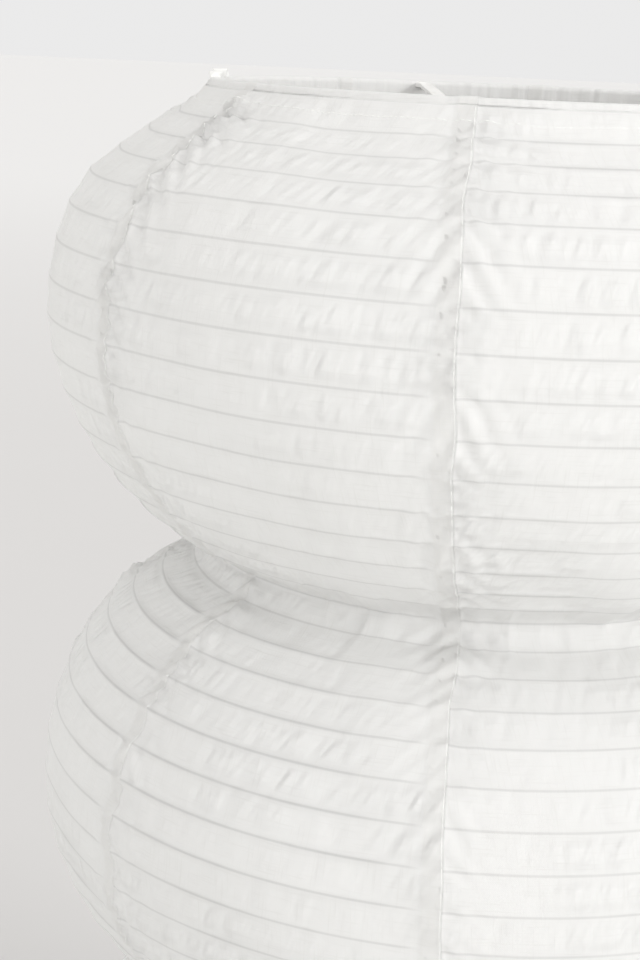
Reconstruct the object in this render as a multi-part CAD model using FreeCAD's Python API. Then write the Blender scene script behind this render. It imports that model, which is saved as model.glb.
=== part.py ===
"""Lantern floor lamp: a cloth lantern of three stacked bulges on a light steel stand.

Millimetres, +Z up. The origin is on the lamp's axis at floor level, under the foot pads.
Two things share the axis: the lantern, which lifts off upwards in one piece, and the stand
inside it, a cross-shaped foot with a pole that carries two lampholders.

Round forms are drawn with flats, which keeps some fifty hoops and their cloth light. The corners
of a rod or ring lie on its true diameter, and so do the flats of a hole, so that a rod turns
freely in a hole of its size plus the clearance.
"""
import FreeCAD, Part
import math
import os

# ---- lantern -------------------------------------------------------------------------
bulge_d = 600.0            # widest diameter of a bulge, over the cloth
waist_d = 378.0            # diameter at the waists and at the foot, over the cloth
rim_d = 396.0              # diameter at the rim, and at the last hoop of each bulge
crown_h = 137.0            # from a bulge's widest line up to its last hoop, or to the rim
neck_h = 13.0              # from the last hoop up to the waist above it
belly_h = 168.0            # from a bulge's widest line down to the waist below it
bulge_names = ("bottom", "middle", "top")
bands = 17                 # strips of cloth between hoops, counted up one bulge
gores = 8                  # panels of cloth sewn side by side round the lantern
flats_per_gore = 3         # flats that each panel is drawn with
cloth_t = 0.4
cloth_gap = 0.1            # room between the cloth and the wire that it is stretched over
hoop_wire_d = 1.2
waist_wire_d = 2.2
ring_wire_d = 5.0          # heavy wire at the rim and at the foot of the lantern

# ---- spider: four arms and a hub that hang the rim ring on the pole --------------------
arm_w = 10.0
arm_t = 3.0
arm_level = 12.0           # length of the level stretch next to the rim ring
hub_side = 36.0
hub_t = 4.0
hub_drop = 35.0            # from the middle of the rim ring down to the middle of the hub
stud_play = 0.3            # radial room between the hub's hole and the stud

# ---- foot ------------------------------------------------------------------------------
pad_t = 3.0
pad_l = 26.0
pad_w = 12.0
bar_w = 8.0
bar_h = 20.0
ring_seat = 2.0            # how far the foot ring's middle lies below the top of the bars
notch_play = 1.5           # room for ring and hem in the notch, to each side
lip_t = 4.0                # steel left outside the notch
lip_drop = 0.6             # how far the lip stays below the middle of the foot ring
hem_play = 0.3             # room under the hem
plate_side = 80.0
plate_corner = 14.0        # corners cut off the base plate
plate_t = 4.0
bolt_d = 4.0
bolt_head_w = 7.0          # across the flats
bolt_head_t = 2.8
bolt_len = 14.0
bolt_r = 28.0              # distance of each bolt from the axis

# ---- pole ------------------------------------------------------------------------------
pole_d = 16.0
pole_wall = 1.0
pole_names = ("lower", "middle", "upper")
spigot_len = 22.0
slip = 0.1                 # radial room between parts that slide or screw together
socket_d = 21.0
socket_h = 36.0
cap_t = 4.0
plug_len = 14.0
stud_d = 10.0
finial_w = 24.0            # across the flats
finial_h = 13.0
finial_lobes = 12
grub_d = 5.0
grub_z = 26.0              # above the base plate
screw_proud = 1.0          # how far the small clamping screws stand out of their wall

# ---- cable inlet -----------------------------------------------------------------------
inlet_bore_d = 7.0
inlet_shank_d = 9.0
inlet_hex_w = 14.0
inlet_hex_t = 8.0
inlet_xy = 21.0            # its place on the base plate, along X and along Y
cord_hole_d = 7.0          # hole through the socket and the pole for the cord
cord_hole_z = 14.0         # above the base plate

# ---- lampholders and bulbs ---------------------------------------------------------------
holder_names = ("lower", "upper")
holder_height = (170.0, 640.0)   # underside of each bracket's arm
holder_side = (1, -1)            # which side of the pole it stands on
bracket_reach = 58.0       # from the pole's axis to the holder's axis
collar_side = 24.0
collar_h = 14.0
bracket_t = 3.0
bracket_w = 26.0
clamp_d = 4.0
nipple_d = 10.0
nut_w = 15.0
nut_t = 3.5
holder_d = 40.0
holder_foot_d = 28.0
holder_cone_h = 14.0
holder_h = 44.0
socket_depth = 27.0        # depth of the screw cap's socket
cap_d = 26.4               # screw cap of the bulb
cap_contact_d = 9.0
cap_contact_t = 1.5
cap_tip_d = 12.0
cap_shoulder = 3.5         # height over which the cap widens from its tip
cap_play = 0.3             # room round the cap and under it
cap_proud = 0.5            # how far the cap stands out of its socket
bulb_d = 60.0
bulb_neck_d = 31.0
bulb_neck_h = 15.0
bulb_flare = 2.0
bulb_len = 80.0            # glass, from the screw cap up

# ---- how finely round forms are drawn ----------------------------------------------------
lathe_flats = 16           # flats round a turned part of the stand
drill_flats = 12           # flats round a screw, a bolt or a drilled hole
ball_steps = 4             # rings of flats from the bulb's widest line up to its top

# ---- worked out from the sizes above -----------------------------------------------------
flats = gores * flats_per_gore
step = 360.0 / flats
flat = math.cos(math.pi / flats)         # a flat's middle lies this much nearer the axis
lathe_flat = math.cos(math.pi / lathe_flats)
drill_flat = math.cos(math.pi / drill_flats)
bulge_h = crown_h + neck_h + belly_h
crown_rise = (bulge_d - rim_d) / 2
belly_rise = (bulge_d - waist_d) / 2
crown_r = (crown_h ** 2 + crown_rise ** 2) / (2 * crown_rise)   # arc above the widest line
belly_r = (belly_h ** 2 + belly_rise ** 2) / (2 * belly_rise)   # arc below it
bar_top = pad_t + bar_h
foot_ring_z = bar_top - ring_seat
last_bulge = len(bulge_names) - 1
rim_ring_z = foot_ring_z + bulge_h * last_bulge + belly_h + crown_h
rim_ring_r = rim_d / 2 - cloth_t - cloth_gap - ring_wire_d / 2
foot_ring_r = waist_d / 2 - cloth_t - cloth_gap - ring_wire_d / 2
ring_corner = ring_wire_d / math.sqrt(3)     # half height of the ring's six-sided section
hem_rise = ring_corner + cloth_gap + cloth_t
plate_top = bar_top + plate_t
hub_z = rim_ring_z - hub_drop
pole_top = hub_z - hub_t / 2 - cap_t
pole_part = (pole_top - plate_top) / len(pole_names)
pole_bore_r = pole_d / 2 - pole_wall
spigot_r = pole_bore_r - slip
cap_len = socket_depth - cap_play + cap_proud


def vec(x, y, z):
    return FreeCAD.Vector(x, y, z)


UP = vec(0, 0, 1)
AXIS = vec(0, 0, 0)


def box(size_x, size_y, size_z, z, x=0.0, y=0.0):
    """A block centred on x and y, standing on z."""
    return Part.makeBox(size_x, size_y, size_z, vec(x - size_x / 2, y - size_y / 2, z))


def prism(across_flats, height, count, z, x=0.0, y=0.0):
    """A nut's outline: a regular polygon with `count` sides, its flats facing along X."""
    corner = across_flats / 2 / math.cos(math.pi / count)
    angles = [2 * math.pi * (i + 0.5) / count for i in range(count + 1)]
    outline = [vec(x + corner * math.cos(a), y + corner * math.sin(a), z) for a in angles]
    return Part.Face(Part.makePolygon(outline)).extrude(vec(0, 0, height))


def rod(diameter, height, z, x=0.0, y=0.0):
    """A screw's shank, upright."""
    return prism(diameter * drill_flat, height, drill_flats, z, x, y)


def drill(diameter, height, z, x=0.0, y=0.0):
    """What an upright drill takes out."""
    return prism(diameter, height, drill_flats, z, x, y)


def laid(shape, start, z, towards):
    """An upright shape that stands on the origin, laid along +Y (1) or -Y (-1) from `start`."""
    shape.rotate(AXIS, vec(1, 0, 0), -90 * towards)
    shape.translate(vec(0, start, z))
    return shape


# ---- sections carried round an axis in flats -----------------------------------------------

def section_at(section, degrees, x=0.0):
    """Corners of a closed (radius, height) section, stood up in the plane at this angle."""
    c = math.cos(math.radians(degrees))
    s = math.sin(math.radians(degrees))
    return [vec(x + r * c, r * s, z) for r, z in section]


def facet(corners):
    """A flat face. Corners that meet on the axis count once."""
    kept = [p for p, before in zip(corners, corners[-1:] + corners[:-1]) if p != before]
    if len(kept) < 3:
        return None
    return Part.Face(Part.makePolygon(kept + kept[:1]))


def carried(stations, ends):
    """A solid through equal sections, flat from one to the next, with faces `ends` added."""
    faces = list(ends)
    for here, there in zip(stations, stations[1:]):
        for i in range(len(here)):
            faces.append(facet([here[i - 1], here[i], there[i], there[i - 1]]))
    solid = Part.Solid(Part.makeShell([face for face in faces if face]))
    return solid if solid.Volume > 0 else solid.reversed()


def panel(section, first, count):
    """A section carried over `count` flats: one panel of cloth."""
    stations = [section_at(section, first + i * step) for i in range(count + 1)]
    return carried(stations, [facet(stations[0]), facet(stations[-1])])


def turned(section, count=flats, x=0.0):
    """A section carried all the way round an upright line at x: a ring or a lathe part."""
    stations = [section_at(section, (i + 0.5) * 360.0 / count, x) for i in range(count)]
    return carried(stations + stations[:1], [])


def lathed(section, x=0.0):
    return turned(section, lathe_flats, x)


# ---- the lantern's cloth and wires -----------------------------------------------------------

def arc_at(rib):
    """Radius of the arc that this rib lies on, and the rib's angle above the widest line.

    The crown and the belly are two arcs that meet at the widest line, halfway up the bands.
    Each is cut into equal bands. The neck's short band comes on top of the crown's.
    """
    middle = bands / 2
    if rib < middle:
        return belly_r, (rib / middle - 1) * math.asin(belly_h / belly_r)
    return crown_r, (rib - middle) / (bands - 1 - middle) * math.asin(crown_h / crown_r)


def on_bulge(index, rib, depth):
    """Point of a bulge's outline at this rib, this deep inside the cloth's outer face."""
    arc_r, angle = arc_at(rib)
    r = bulge_d / 2 - arc_r + (arc_r - depth) * math.cos(angle)
    z = foot_ring_z + bulge_h * index + belly_h + (arc_r - depth) * math.sin(angle)
    return r, z


def lean(low, high):
    """How far a band of cloth leans outwards, from one rib up to the next."""
    (r1, z1), (r2, z2) = on_bulge(0, low, 0.0), on_bulge(0, high, 0.0)
    return math.atan2(r2 - r1, z2 - z1)


def waist_crease():
    """From a waist's outer crease to its inner one: inwards, and up."""
    above = lean(0, 1)
    below = math.atan2((rim_d - waist_d) / 2, neck_h)
    share = cloth_t / (1 + math.cos(above + below))
    return share * (math.cos(above) + math.cos(below)), share * (math.sin(above) - math.sin(below))


def hem(r, ring_z, ring_r, up, bend):
    """A hem's outer and inner outlines: straight past the ring, then over it to its middle."""
    tip = ring_z + up * hem_rise
    outer = [(r, ring_z), (r, tip), (ring_r, tip)]
    inner = [(r - cloth_t, ring_z - up * bend)]
    inner += [(r - cloth_t, tip - up * cloth_t), (ring_r, tip - up * cloth_t)]
    return outer, inner


def cloth_section():
    """The cloth's own outline: up the outside and back down inside, a hem at both ends."""
    low_bend = cloth_t * math.tan(lean(0, 1) / 2)
    high_bend = cloth_t * math.tan(-lean(bands - 2, bands - 1) / 2)
    low = hem(waist_d / 2, foot_ring_z, foot_ring_r, -1, low_bend)
    high = hem(rim_d / 2, rim_ring_z, rim_ring_r, 1, high_bend)
    inwards, upwards = waist_crease()
    outside = low[0][::-1]
    inside = low[1][::-1]
    for i in range(last_bulge + 1):
        outside += [on_bulge(i, rib, 0.0) for rib in ribs(i)]
        inside += [on_bulge(i, rib, cloth_t) for rib in ribs(i)]
        if i < last_bulge:
            waist_z = foot_ring_z + bulge_h * (i + 1)
            outside.append((waist_d / 2, waist_z))
            inside.append((waist_d / 2 - inwards, waist_z + upwards))
    return outside + high[0] + (inside + high[1])[::-1]


def ribs(index):
    """The light hoops of a bulge, numbered from its foot. The rim takes the top one's place."""
    return range(1, bands - 1) if index == last_bulge else range(1, bands)


def wire_section(r, z, corner_r, count, first=0.0):
    """Section of a wire as a small polygon round r, z."""
    angles = [first + 2 * math.pi * i / count for i in range(count)]
    return [(r + corner_r * math.cos(a), z + corner_r * math.sin(a)) for a in angles]


def hoop(index, rib):
    """A light hoop: three flats, with one corner in the crease of the cloth."""
    corner = hoop_wire_d / 2
    r, z = on_bulge(index, rib, cloth_t + cloth_gap + corner)
    return turned(wire_section(r, z, corner, 3, arc_at(rib)[1]))


def hoops(index):
    """Every light hoop of one bulge."""
    return Part.makeCompound([hoop(index, rib) for rib in ribs(index)])


def heavy_ring(ring_r, z):
    return turned(wire_section(ring_r, z, ring_corner, 6, math.pi / 2))


def waist_hoop(index):
    """The hoop that draws the cloth in between two bulges."""
    inwards, upwards = waist_crease()
    r = waist_d / 2 - inwards - cloth_gap - waist_wire_d / 2
    z = foot_ring_z + bulge_h * index + upwards
    return turned(wire_section(r, z, waist_wire_d / 2, 4))


def lantern():
    section = cloth_section()
    nodes = {}
    for i in range(gores):
        first = (i * flats_per_gore + 0.5 * flats_per_gore) * step
        nodes["cloth_gore_%d" % (i + 1)] = panel(section, first, flats_per_gore)
    for i, name in enumerate(bulge_names):
        nodes["hoops_%s_bulge" % name] = hoops(i)
    waists = [waist_hoop(i) for i in range(1, last_bulge + 1)]
    nodes["waist_hoops"] = Part.makeCompound(waists)
    nodes["rim_ring"] = heavy_ring(rim_ring_r, rim_ring_z)
    nodes["foot_ring"] = heavy_ring(foot_ring_r, foot_ring_z)
    return nodes


# ---- spider ------------------------------------------------------------------------------

def spider_arm():
    """Flat steel along +X: level at the ring, then sloping down to the hub's edge."""
    ring_face = (rim_ring_r - ring_wire_d / 2) * flat
    knee = ring_face - arm_level
    half = arm_t / 2
    slope = math.atan2(hub_drop, knee - hub_side / 2)
    shift = half * math.tan(slope / 2)
    top = [(hub_side / 2, hub_z + half), (knee - shift, rim_ring_z + half)]
    low = [(knee + shift, rim_ring_z - half), (hub_side / 2, hub_z - half)]
    side = top + [(ring_face, rim_ring_z + half), (ring_face, rim_ring_z - half)] + low
    outline = Part.makePolygon([vec(x, -arm_w / 2, z) for x, z in side + side[:1]])
    return Part.Face(outline).extrude(vec(0, arm_w, 0))


def turned_copies(shape, count):
    copies = []
    for i in range(count):
        copy = shape.copy()
        copy.rotate(AXIS, UP, 360.0 * i / count)
        copies.append(copy)
    return copies


def spider():
    hub = box(hub_side, hub_side, hub_t, hub_z - hub_t / 2)
    hub = hub.cut(drill(stud_d + 2 * stud_play, hub_t, hub_z - hub_t / 2))
    nodes = {"spider_hub": hub}
    nodes["spider_arms"] = Part.makeCompound(turned_copies(spider_arm(), 4))
    return nodes


def finial():
    """Thumb nut on the pole's stud, holding the hub down."""
    nut = prism(finial_w, finial_h, finial_lobes, hub_z + hub_t / 2)
    bore = Part.makeCylinder(stud_d / 2 + slip, finial_h, vec(0, 0, hub_z + hub_t / 2))
    return nut.cut(bore)


# ---- foot --------------------------------------------------------------------------------

def notch_edges():
    """Where the notch for the foot ring begins and ends along a bar."""
    inner = (foot_ring_r - ring_wire_d / 2) * flat - notch_play
    outer = waist_d / 2 + notch_play
    return inner, outer


def foot_bar():
    """Flat bar on edge along X, its ends notched for the foot ring."""
    inner, outer = notch_edges()
    end = outer + lip_t
    seat = foot_ring_z - hem_rise - hem_play
    lip = foot_ring_z - lip_drop
    half = [(inner, bar_top), (inner, seat), (outer, seat), (outer, lip), (end, lip)]
    half += [(end, pad_t + bar_w / 2), (end - bar_w / 2, pad_t)]
    outline = half + [(-x, z) for x, z in reversed(half)]
    wire = Part.makePolygon([vec(x, -bar_w / 2, z) for x, z in outline + outline[:1]])
    bar = Part.Face(wire).extrude(vec(0, bar_w, 0))
    for side in (1, -1):
        hole_z = plate_top - bolt_len
        bar = bar.cut(drill(bolt_d, bolt_len, hole_z, side * bolt_r))
    return bar


def halved(bar, cut_z):
    """The bar with half its height cut away in the middle, for the crossing bar."""
    return bar.cut(box(bar_w, bar_w, bar_h / 2, cut_z))


def foot_bars():
    across = halved(foot_bar(), pad_t + bar_h / 2)
    along = halved(foot_bar(), pad_t)
    along.rotate(AXIS, UP, 90)
    return {"foot_bar_across": across, "foot_bar_along": along}


def foot_pads():
    end = notch_edges()[1] + lip_t - bar_w / 2
    return Part.makeCompound(turned_copies(box(pad_l, pad_w, pad_t, 0, end - pad_l / 2), 4))


def base_plate():
    """Square plate with cut corners, and the socket tube that is welded on it."""
    a = plate_side / 2
    b = a - plate_corner
    corners = [(a, -b), (a, b), (b, a), (-b, a), (-a, b), (-a, -b), (-b, -a), (b, -a)]
    outline = [vec(x, y, bar_top) for x, y in corners + corners[:1]]
    plate = Part.Face(Part.makePolygon(outline)).extrude(vec(0, 0, plate_t))
    for hole in turned_copies(drill(bolt_d + 2 * slip, plate_t, bar_top, bolt_r), 4):
        plate = plate.cut(hole)
    inner = (pole_d / 2 + slip) / lathe_flat
    rim = plate_top + socket_h
    tube = [(inner, plate_top), (socket_d / 2, plate_top), (socket_d / 2, rim), (inner, rim)]
    tube = lathed(tube).cut(cord_drill()).cut(grub_drill())
    hole = drill(inlet_shank_d + 2 * slip, plate_t, bar_top, inlet_xy, inlet_xy)
    return plate.cut(hole).fuse(tube)


def base_bolts():
    bolt = rod(bolt_d, bolt_len, plate_top - bolt_len, bolt_r)
    bolt = bolt.fuse(prism(bolt_head_w, bolt_head_t, 6, plate_top, bolt_r))
    return Part.makeCompound(turned_copies(bolt, 4))


# ---- cable inlet and pole screw ----------------------------------------------------------------

def cord_drill():
    return laid(drill(cord_hole_d, socket_d, 0), 0, plate_top + cord_hole_z, 1)


def grub_drill():
    return laid(drill(grub_d + 2 * slip, socket_d, 0), 0, plate_top + grub_z, -1)


def cable_inlet():
    """Six-sided bush in the base plate: the cord comes up through it, beside the pole."""
    shank = rod(inlet_shank_d, plate_t, bar_top, inlet_xy, inlet_xy)
    bush = shank.fuse(prism(inlet_hex_w, inlet_hex_t, 6, plate_top, inlet_xy, inlet_xy))
    start = vec(inlet_xy, inlet_xy, bar_top)
    return bush.cut(Part.makeCylinder(inlet_bore_d / 2, plate_t + inlet_hex_t, start))


def pole_screw():
    """Locks the pole in its socket. Its point stops just off the pole."""
    length = (socket_d - pole_d) / 2 + screw_proud
    return laid(rod(grub_d, length, 0), -pole_d / 2 - slip, plate_top + grub_z, -1)


# ---- pole --------------------------------------------------------------------------------

def pole_piece(index):
    """Tube whose spigot, at its top, fits inside the next piece. The last one has none."""
    low = plate_top + pole_part * index
    high = low + pole_part
    outer = pole_d / 2
    inner = pole_bore_r / lathe_flat
    outline = [(inner, low), (outer, low), (outer, high)]
    if index == len(pole_names) - 1:
        return lathed(outline + [(inner, high)])
    bore = spigot_r - pole_wall
    tip = high + spigot_len
    outline += [(spigot_r, high), (spigot_r, tip), (bore, tip)]
    return lathed(outline + [(bore, high - spigot_len), (inner, high - spigot_len)])


def pole_cap():
    """Plug in the pole's top, with a shoulder for the hub and a stud for the finial."""
    shoulder = pole_top + cap_t
    tip = shoulder + hub_t + finial_h
    outline = [(0, pole_top - plug_len), (spigot_r, pole_top - plug_len), (spigot_r, pole_top)]
    outline += [(pole_d / 2, pole_top), (pole_d / 2, shoulder), (stud_d / 2, shoulder)]
    return lathed(outline + [(stud_d / 2, tip), (0, tip)])


def pole():
    nodes = {}
    for i, name in enumerate(pole_names):
        nodes["pole_%s" % name] = pole_piece(i)
    nodes["pole_lower"] = nodes["pole_lower"].cut(cord_drill())
    nodes["pole_cap"] = pole_cap()
    return nodes


# ---- lampholders ---------------------------------------------------------------------------

def bracket(side, z):
    """Collar on the pole with an arm of flat steel that carries the holder."""
    reach = side * bracket_reach
    arm = box(bracket_reach, bracket_w, bracket_t, z, reach / 2)
    arm = arm.fuse(prism(bracket_w, bracket_t, 8, z, reach))
    shape = arm.fuse(box(collar_side, collar_side, collar_h, z)).removeSplitter()
    shape = shape.cut(prism(pole_d + 2 * slip, collar_h, lathe_flats, z))
    shape = shape.cut(drill(nipple_d + 2 * slip, bracket_t, z, reach))
    return shape.cut(laid(drill(clamp_d + 2 * slip, collar_side, 0), 0, z + collar_h / 2, 1))


def bracket_screw(z):
    """Screw through the back wall of the collar, its point just off the pole."""
    length = (collar_side - pole_d) / 2 + screw_proud
    return laid(rod(clamp_d, length, 0), pole_d / 2 + slip, z + collar_h / 2, 1)


def lampholder(x, z):
    """Moulded holder with its nipple below and the screw cap's socket above."""
    seat = z + bracket_t
    rim = seat + holder_h
    socket_r = (cap_d / 2 + cap_play) / lathe_flat
    nipple = seat - bracket_t - nut_t
    outline = [(0, nipple), (nipple_d / 2, nipple), (nipple_d / 2, seat)]
    outline += [(holder_foot_d / 2, seat), (holder_d / 2, seat + holder_cone_h)]
    outline += [(holder_d / 2, rim), (socket_r, rim), (socket_r, rim - socket_depth)]
    return lathed(outline + [(0, rim - socket_depth)], x)


def holder_nut(x, z):
    nut = prism(nut_w, nut_t, 6, z - nut_t, x)
    return nut.cut(drill(nipple_d / lathe_flat + 2 * slip, nut_t, z - nut_t, x))


def bulb_cap(x, z):
    """Screw cap, standing in its socket on its round contact."""
    low = z + cap_contact_t
    top = z + cap_len
    outline = [(0, low), (cap_tip_d / 2, low), (cap_d / 2, low + cap_shoulder), (cap_d / 2, top)]
    contact = Part.makeCylinder(cap_contact_d / 2, cap_contact_t, vec(x, 0, z))
    return lathed(outline + [(0, top)], x).fuse(contact)


def bulb_glass(x, z):
    """Frosted glass: a neck that swells into a ball."""
    r = bulb_d / 2
    neck_r = bulb_neck_d / 2
    ball_z = z + bulb_len - r
    outline = [(0, z), (neck_r, z), (neck_r + bulb_flare, z + bulb_neck_h)]
    for i in range(-1, ball_steps):
        a = math.pi / 2 * i / ball_steps
        outline.append((r * math.cos(a), ball_z + r * math.sin(a)))
    return lathed(outline + [(0, z + bulb_len)], x)


def lights():
    nodes = {}
    screws = []
    nuts = []
    for name, z, side in zip(holder_names, holder_height, holder_side):
        x = side * bracket_reach
        cap_z = z + bracket_t + holder_h - socket_depth + cap_play
        nodes["bracket_%s" % name] = bracket(side, z)
        nodes["lampholder_%s" % name] = lampholder(x, z)
        nodes["bulb_cap_%s" % name] = bulb_cap(x, cap_z)
        nodes["bulb_glass_%s" % name] = bulb_glass(x, cap_z + cap_len)
        screws.append(bracket_screw(z))
        nuts.append(holder_nut(x, z))
    nodes["bracket_screws"] = Part.makeCompound(screws)
    nodes["holder_nuts"] = Part.makeCompound(nuts)
    return nodes


def stand():
    nodes = foot_bars()
    nodes["foot_pads"] = foot_pads()
    nodes["base_plate"] = base_plate()
    nodes["base_bolts"] = base_bolts()
    nodes["cable_inlet"] = cable_inlet()
    nodes["pole_screw"] = pole_screw()
    return nodes


def build():
    nodes = lantern()
    for group in (spider(), stand(), pole(), lights()):
        nodes.update(group)
    nodes["finial"] = finial()
    return nodes


os.makedirs("parts", exist_ok=True)
for node, shape in build().items():
    shape.exportStep("parts/%s.step" % node)
    print(node, len(shape.Solids), "solid(s), volume", round(shape.Volume, 1))
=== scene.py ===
# %% [markdown]
# # A cloth lantern floor lamp
#
# The lamp is a tall lantern of thin white cloth, sewn from eight long panels and stretched over
# some fifty wire hoops. Inside it stands a steel pole on a cross-shaped foot, with two bulbs.
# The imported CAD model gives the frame: what each piece is, where it is and what it moves with.
# This script dresses that frame, piece by piece, and then sets the stage as in the photograph.

import math

import bmesh
import bpy
import numpy as np
from mathutils import Matrix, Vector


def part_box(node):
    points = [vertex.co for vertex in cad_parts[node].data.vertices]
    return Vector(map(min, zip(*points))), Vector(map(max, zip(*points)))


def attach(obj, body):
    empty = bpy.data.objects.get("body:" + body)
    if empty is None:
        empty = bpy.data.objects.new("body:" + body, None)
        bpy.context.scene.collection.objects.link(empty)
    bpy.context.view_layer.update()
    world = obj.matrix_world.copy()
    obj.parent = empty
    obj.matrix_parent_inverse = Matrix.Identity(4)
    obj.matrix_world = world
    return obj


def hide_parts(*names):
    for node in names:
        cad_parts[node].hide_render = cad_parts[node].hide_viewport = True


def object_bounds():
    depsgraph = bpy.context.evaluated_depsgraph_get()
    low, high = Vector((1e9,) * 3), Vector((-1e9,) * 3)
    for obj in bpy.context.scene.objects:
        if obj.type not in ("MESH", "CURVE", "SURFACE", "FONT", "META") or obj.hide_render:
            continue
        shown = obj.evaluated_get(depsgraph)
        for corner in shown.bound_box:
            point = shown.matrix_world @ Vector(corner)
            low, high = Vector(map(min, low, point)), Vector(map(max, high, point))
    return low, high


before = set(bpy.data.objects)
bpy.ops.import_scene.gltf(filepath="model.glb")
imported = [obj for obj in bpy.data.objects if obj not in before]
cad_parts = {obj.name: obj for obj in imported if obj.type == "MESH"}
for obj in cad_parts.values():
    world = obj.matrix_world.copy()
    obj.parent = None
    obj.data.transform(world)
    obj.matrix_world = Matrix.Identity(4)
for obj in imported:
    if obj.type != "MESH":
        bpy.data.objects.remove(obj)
cad_low, cad_high = [list(corner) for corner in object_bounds()]

# %% [markdown]
# ## Sizes
#
# Blender works in metres. The heavy rings of the CAD model give the lantern's place and its
# width. The CAD draws its rings with 24 flats, and a corner lies 7.5 degrees off each axis, so
# dividing by the cosine of that angle gives the true radius back.

# %% Sizes of the lantern
mm = 0.001
seams = 8
bands = 17                      # strips of cloth in one bulge
bulges = 3
last_rib = bands * bulges - 1   # the rim takes the place of the last light hoop
crown_h = 137 * mm              # from a widest line up to the last hoop of its bulge
neck_h = 13 * mm
belly_h = 168 * mm              # from a waist up to the widest line
bulge_h = crown_h + neck_h + belly_h
ring_wire_r = 2.5 * mm
hem_r = 3.4 * mm                # the cloth's bend round a heavy ring
to_corner = math.cos(math.radians(7.5))

rim_low, rim_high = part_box("rim_ring")
foot_low, foot_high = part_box("foot_ring")
rim_z = (rim_low[2] + rim_high[2]) / 2
foot_z = (foot_low[2] + foot_high[2]) / 2
rim_ring_r = rim_high[0] / to_corner - ring_wire_r
foot_ring_r = foot_high[0] / to_corner - ring_wire_r
rim_r = rim_ring_r + hem_r
waist_r = foot_ring_r + hem_r
bulge_r = cad_high[0] / to_corner
print("rim %.3f m wide at %.3f m, bulges %.3f m wide" % (2 * rim_r, rim_z, 2 * bulge_r))

# %% [markdown]
# ## Helpers for meshes
#
# Nearly every form here is a grid of points: rows along a profile, columns round an axis. With
# numpy the whole grid is worked out at once, and the faces follow from the counting alone.
# Each helper returns a "shell", which is an array of points and a list of faces. One piece can
# be made of several shells.

# %% Grids, turned forms and plates
def grid(points, close_rows=False, close_cols=False):
    """Faces between the neighbours in a (rows, columns, 3) array of points.

    Row i, column j is vertex i * columns + j. A face joins it to the next column, then to the
    next row. With rows that run upwards and columns that run anticlockwise it faces outwards.
    """
    rows, cols = points.shape[:2]
    i = np.arange(rows if close_rows else rows - 1)[:, None]
    j = np.arange(cols if close_cols else cols - 1)[None, :]
    right = (j + 1) % cols
    above = (i + 1) % rows
    corners = [i * cols + j, i * cols + right, above * cols + right, above * cols + j]
    return points.reshape(-1, 3), np.stack(corners, axis=-1).reshape(-1, 4).tolist()


def soften(outline, radius, closed=True, steps=3):
    """Round the corners of an outline.

    Each corner P gives way to a curve from A, just before it, to B, just after it:
    A (1 - t)^2 + 2 P t (1 - t) + B t^2. An open outline keeps its two ends as they are.
    """
    points = np.array(outline, dtype=float)

    def towards(other):
        way = other - points
        length = np.maximum(np.linalg.norm(way, axis=1, keepdims=True), 1e-9)
        return points + way / length * np.minimum(radius, 0.45 * length)

    before = towards(np.roll(points, 1, axis=0))[:, None]
    after = towards(np.roll(points, -1, axis=0))[:, None]
    t = np.linspace(0, 1, steps + 1)[None, :, None]
    curve = before * (1 - t) ** 2 + 2 * points[:, None] * t * (1 - t) + after * t ** 2
    if closed:
        return curve.reshape(-1, points.shape[1])
    middle = curve[1:-1].reshape(-1, points.shape[1])
    return np.concatenate([points[:1], middle, points[-1:]])


def flat_sided(angles, across, count):
    """Distance from the axis to the outline of a nut: half its width over cos(angle off a flat)."""
    part = 2 * math.pi / count
    off_flat = (angles + part / 2) % part - part / 2
    return across / 2 / np.cos(off_flat)


def lathe(outline, x=0.0, y=0.0, sides=64, ring=False, shape=None):
    """Turn an outline of (radius, height) points round an upright axis at x, y.

    Point (r, z) at angle a goes to (x + r cos a, y + r sin a, z). `shape`, if given, takes the
    radii, the heights and the angles and returns changed radii, as for a thread or a hexagon.
    """
    radius, height = np.array(outline, dtype=float).T[:, :, None]
    angle = np.arange(sides) * 2 * math.pi / sides
    radius = shape(radius, height, angle) if shape else radius + 0 * angle
    height = height + 0 * angle
    points = np.stack([x + radius * np.cos(angle), y + radius * np.sin(angle), height], axis=-1)
    return grid(points, close_rows=ring, close_cols=True)


def wire_ring(radius, height, wire_r, sides=144, around=8):
    """A round wire bent to a ring: a small circle turned round the axis."""
    a = np.arange(around) * 2 * math.pi / around
    outline = np.stack([radius + wire_r * np.cos(a), height + wire_r * np.sin(a)], axis=-1)
    return lathe(outline, sides=sides, ring=True)


def slab(outline, push):
    """A plate: an outline's face, the same face moved by `push`, and walls between them."""
    base = np.array(outline, dtype=float)
    count = len(base)
    walls = [(i, (i + 1) % count, (i + 1) % count + count, i + count) for i in range(count)]
    faces = [list(range(count)), list(range(count, 2 * count))] + walls
    return np.concatenate([base, base + np.array(push)]), faces


def moved(shell, matrix):
    """The same shell, turned and moved by a 4 by 4 matrix."""
    points, faces = shell
    turn = np.array(matrix)
    return points @ turn[:3, :3].T + turn[:3, 3], faces


# %% [markdown]
# A piece becomes an object that sits at the origin, with its place in its mesh. Points that
# coincide, as where a turned form meets its axis, are merged, so that the mesh is closed. The
# Bevel modifier gives plates the small round edge that catches the light on real steel.

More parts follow.
